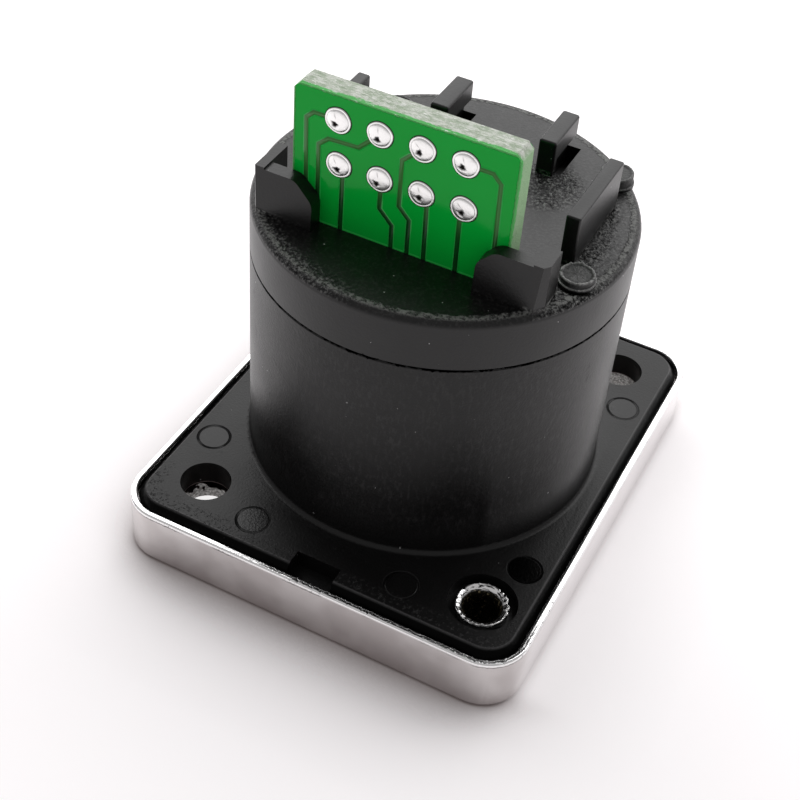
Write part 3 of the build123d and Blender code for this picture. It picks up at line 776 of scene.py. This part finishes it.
# Solder joints: bright tin, hand soldered with no wire in it yet. Each is a low dome in a
# creamy pad ring, with a fine groove between and a blot of flux below its middle. A ring
# about the joint, the groove and a crease from the blot are painted dark, a painted shade.
joint_nodes = [f"solder_joint_{number}" for number in range(1, 9)]
joint_segments = 64
pad_radius = 0.78 * MM
blot_radius = 0.17 * MM
blot_depth = 0.06 * MM
crease_width = 0.10
crease_middle = 0.4
crease_reach = 0.3
flux_and_shade_brown = (0.008, 0.007, 0.006)
# Each point is a share of the pad's radius, a rise in millimetres and how dark it is, a
# painted shade.
joint_profile = (
    (1.07, -0.03, 1.0), (1.07, 0.008, 1.0), (1.01, 0.012, 0.9), (1.00, 0.05, 0.1),
    (0.985, 0.065, 0.0), (0.95, 0.072, 0.0), (0.90, 0.074, 0.0), (0.87, 0.068, 0.1),
    (0.855, 0.062, 0.5), (0.84, 0.072, 0.2), (0.80, 0.095, 0.0), (0.72, 0.116, 0.0),
    (0.63, 0.132, 0.0), (0.56, 0.141, 0.0), (0.49, 0.148, 0.0), (0.42, 0.154, 0.0),
    (0.35, 0.158, 0.0), (0.28, 0.161, 0.0), (0.21, 0.163, 0.0), (0.13, 0.165, 0.0),
    (0.06, 0.166, 0.0),
)

tin = Finish("bright_solder", (0.97, 0.97, 0.97), 0.2, 1.0)
ripple = tin.noise(0.35 * MM, 2.0, 0.5)
flux = tin.attribute("flux")
tin.give("Base Color", tin.mix(flux, (1.0, 0.995, 0.985), flux_and_shade_brown))
tin.give("Roughness", 0.26 + ripple * 0.12 + flux * 0.3)
tin.bump(ripple, 0.018 * MM)
chance = random.Random(7)
shape = bmesh.new()
flux_and_shade_layer = shape.verts.layers.float.new("flux")
for node in joint_nodes:
    low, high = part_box(node)
    middle = (low + high) / 2
    lean = Vector((chance.uniform(-0.03, 0.03), 0, chance.uniform(-0.03, 0.03))) * MM
    wave = chance.uniform(0, math.tau)
    blot = Vector((chance.uniform(-0.16, -0.02), 0, chance.uniform(-0.30, -0.16))) * MM
    crease_turn = chance.uniform(1.7, 2.5)
    rings = []
    for share, rise, dark in joint_profile:
        ring = []
        for step in range(joint_segments):
            turn = math.tau * step / joint_segments
            wobble = 1 + 0.012 * math.sin(3 * turn + wave) + 0.008 * math.sin(5 * turn - wave)
            reach = share * pad_radius * wobble
            place = Vector((reach * math.cos(turn), 0, reach * math.sin(turn))) + lean * (1 - share)
            off = place - blot
            swirl = math.atan2(off.z, off.x)
            uneven = 1 + 0.55 * math.sin(3 * swirl + wave) + 0.45 * math.sin(5 * swirl - 2 * wave)
            hollow = math.exp(-((off.length / blot_radius) ** 4) * max(0.3, uneven))
            from_crease = math.remainder(turn - crease_turn, math.tau) / crease_width
            along_crease = max(0.0, 1 - abs(share - crease_middle) / crease_reach)
            corner = shape.verts.new((
                middle.x + place.x,
                board_front - rise * MM + hollow * blot_depth,
                middle.z + place.z,
            ))
            crease = math.exp(-(from_crease ** 2)) * 0.5 * along_crease
            corner[flux_and_shade_layer] = min(1.0, dark + 1.2 * hollow + crease)
            ring.append(corner)
        rings.append(ring)
    join_rings(shape, rings)
fit(smooth_piece(shape, "solder_joints"), tin, "solder", *joint_nodes)


# Hollow rivets: drawn nickel-plated brass tube with a flat head in front. The rear end is
# flared over in the plate's recess, and its edge tore and wrinkled as it was set.
rivet_nodes = ("hollow_rivet_1", "hollow_rivet_2")
rivet_place = (10.0 * MM, 11.95 * MM)
rivet_segments = 128
rivet_bore = 1.05 * MM
rivet_tube = 1.50 * MM
rivet_head = 2.30 * MM
head_low = 0.10 * MM
head_high = 0.60 * MM
flare_low = 3.55 * MM
# Each point of the flare is a radius and a rise in millimetres.
flare_profile = (
    (1.58, 0.02), (1.64, 0.14), (1.68, 0.30), (1.70, 0.45), (1.69, 0.56), (1.66, 0.62),
    (1.62, 0.64), (1.57, 0.63), (1.51, 0.60), (1.45, 0.56), (1.39, 0.51), (1.33, 0.45),
    (1.27, 0.38), (1.21, 0.29), (1.15, 0.18), (1.10, 0.04), (1.06, -0.14),
)
bore_levels = (3.2, 2.8, 2.3, 1.7, 1.0, 0.4)
fold_counts = (3, 5, 8, 13, 21, 34)
tear_count = 9
tear_out = 0.09 * MM
tear_down = 0.10 * MM
fold_out = 0.020 * MM
fold_down = 0.025 * MM
bright_plating = (0.96, 0.955, 0.95)
brass_dark = (0.014, 0.012, 0.008)
brass_light = (0.30, 0.25, 0.15)

flared = Finish("flared_rivet", bright_plating, 0.12, 1.0)
off_x = flared.x - flared.x.math("SIGN") * rivet_place[0]
off_y = flared.y - flared.y.math("SIGN") * rivet_place[1]
reach = off_x.hypot(off_y)
turn = off_y.math("ARCTAN2", off_x)
around = flared.node("ShaderNodeCombineXYZ", {}, {"X": turn * 0.35 * MM, "Y": reach, "Z": flared.z})
streak = flared.noise(0.11 * MM, 3.0, 0.6, place=around["Vector"])

# Dark streaks run round the torn rear end, most on one side. The bore is painted dark brass
# with pale specks, a painted shade with painted glints.
torn_side = flared.step(off_x - off_y * 0.5, -0.4 * MM, 0.8 * MM)
crest = flared.step(reach, 1.50 * MM, 1.58 * MM)
rear_end = flared.step(flared.z, head_high, head_high + 0.2 * MM)
dark_line = flared.step(streak, 0.50, 0.42) * (1 - crest * (1 - torn_side * 0.6)) * rear_end
inside = flared.within(reach, 1.28 * MM, 0.06 * MM) * flared.step(flared.z, head_low, head_high)
speckle = flared.step(flared.noise(0.20 * MM, 3.0, 0.7), 0.54, 0.66)
shaded_brass = flared.mix(speckle, brass_dark, brass_light)
bright = flared.mix(dark_line, bright_plating, (0.03, 0.03, 0.03))
flared.give("Base Color", flared.mix(inside, bright, shaded_brass))
flared.give("Roughness", 0.12 + dark_line * 0.2 + inside * 0.3)
flared.bump(streak * (0.5 + torn_side) * rear_end, 0.05 * MM)
chance = random.Random(11)
for node in rivet_nodes:
    low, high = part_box(node)
    middle = (low + high) / 2
    folds = [(count, chance.uniform(0, math.tau), chance.uniform(0.3, 1.0)) for count in fold_counts]
    tears = [(chance.uniform(0, math.tau), chance.uniform(0.03, 0.07)) for _ in range(tear_count)]
    sections = [(rivet_bore, head_low, 0.0), (rivet_head, head_low, 0.0), (rivet_head, head_high, 0.0)]
    sections += [(rivet_tube, head_high, 0.0), (rivet_tube, flare_low, 0.0)]
    for radius, rise in flare_profile:
        sections.append((radius * MM, flare_low + rise * MM, max(0.0, min(1.0, rise * 2))))
    sections += [(rivet_bore, level * MM, 0.0) for level in bore_levels]
    shape = bmesh.new()
    rings = []
    for reach, level, loose in sections:
        ring = []
        for step in range(rivet_segments):
            turn = math.tau * step / rivet_segments
            ruffle = sum(weight * math.sin(count * turn + start) for count, start, weight in folds) / 3
            torn = sum(math.exp(-((math.remainder(turn - at, math.tau) / wide) ** 2)) for at, wide in tears)
            torn = min(torn, 1.0)
            out = reach - loose * (fold_out * (1 - ruffle) + tear_out * torn)
            up = level - loose * (fold_down * (1 + ruffle) + tear_down * torn)
            place = (middle.x + out * math.cos(turn), middle.y + out * math.sin(turn), up)
            ring.append(shape.verts.new(place))
        rings.append(ring)
    join_rings(shape, rings, closed=True)
    fit(smooth_piece(shape, f"{node}_flared"), flared, "nickel", node)


# Jack and its comb: plain black plastic mouldings, seen from the front through the
# open bore.
plain = Finish("plain_moulding", (0.02, 0.02, 0.021), 0.38)
plain.bump(plain.noise(0.3 * MM, 3.0, 0.6), 0.01 * MM)
fit(skin("jack_body", "jack_skin", bevel=0.06 * MM), plain, "jack_plastic", "jack_body")
fit(skin("contact_carrier", "comb_skin"), plain, "jack_plastic", "contact_carrier")


# Seals: dull black rubber rings and a rubber disc, pressed into their seats.
rubber = Finish("seal_rubber", (0.03, 0.03, 0.03), 0.75)
rubber.bump(rubber.noise(0.2 * MM, 3.0, 0.7), 0.01 * MM)
for node in ("plug_seal", "board_gasket", "rear_seal_ring"):
    fit(skin(node, f"{node}_skin", bevel=0.05 * MM), rubber, "seal_rubber", node)


# Contacts: square spring wires with a thin gold plating, soldered into the board.
gold = Finish("gold_plating", (0.88, 0.62, 0.24), 0.2, 1.0)
gold.give("Roughness", 0.14 + gold.noise(0.4 * MM) * 0.14)
for number in range(1, 9):
    node = f"contact_{number}"
    fit(skin(node, f"{node}_skin"), gold, "gold_wire", node)
    node = f"tail_solder_{number}"
    fit(skin(node, f"{node}_skin"), tin, "solder", node)

low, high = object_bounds()
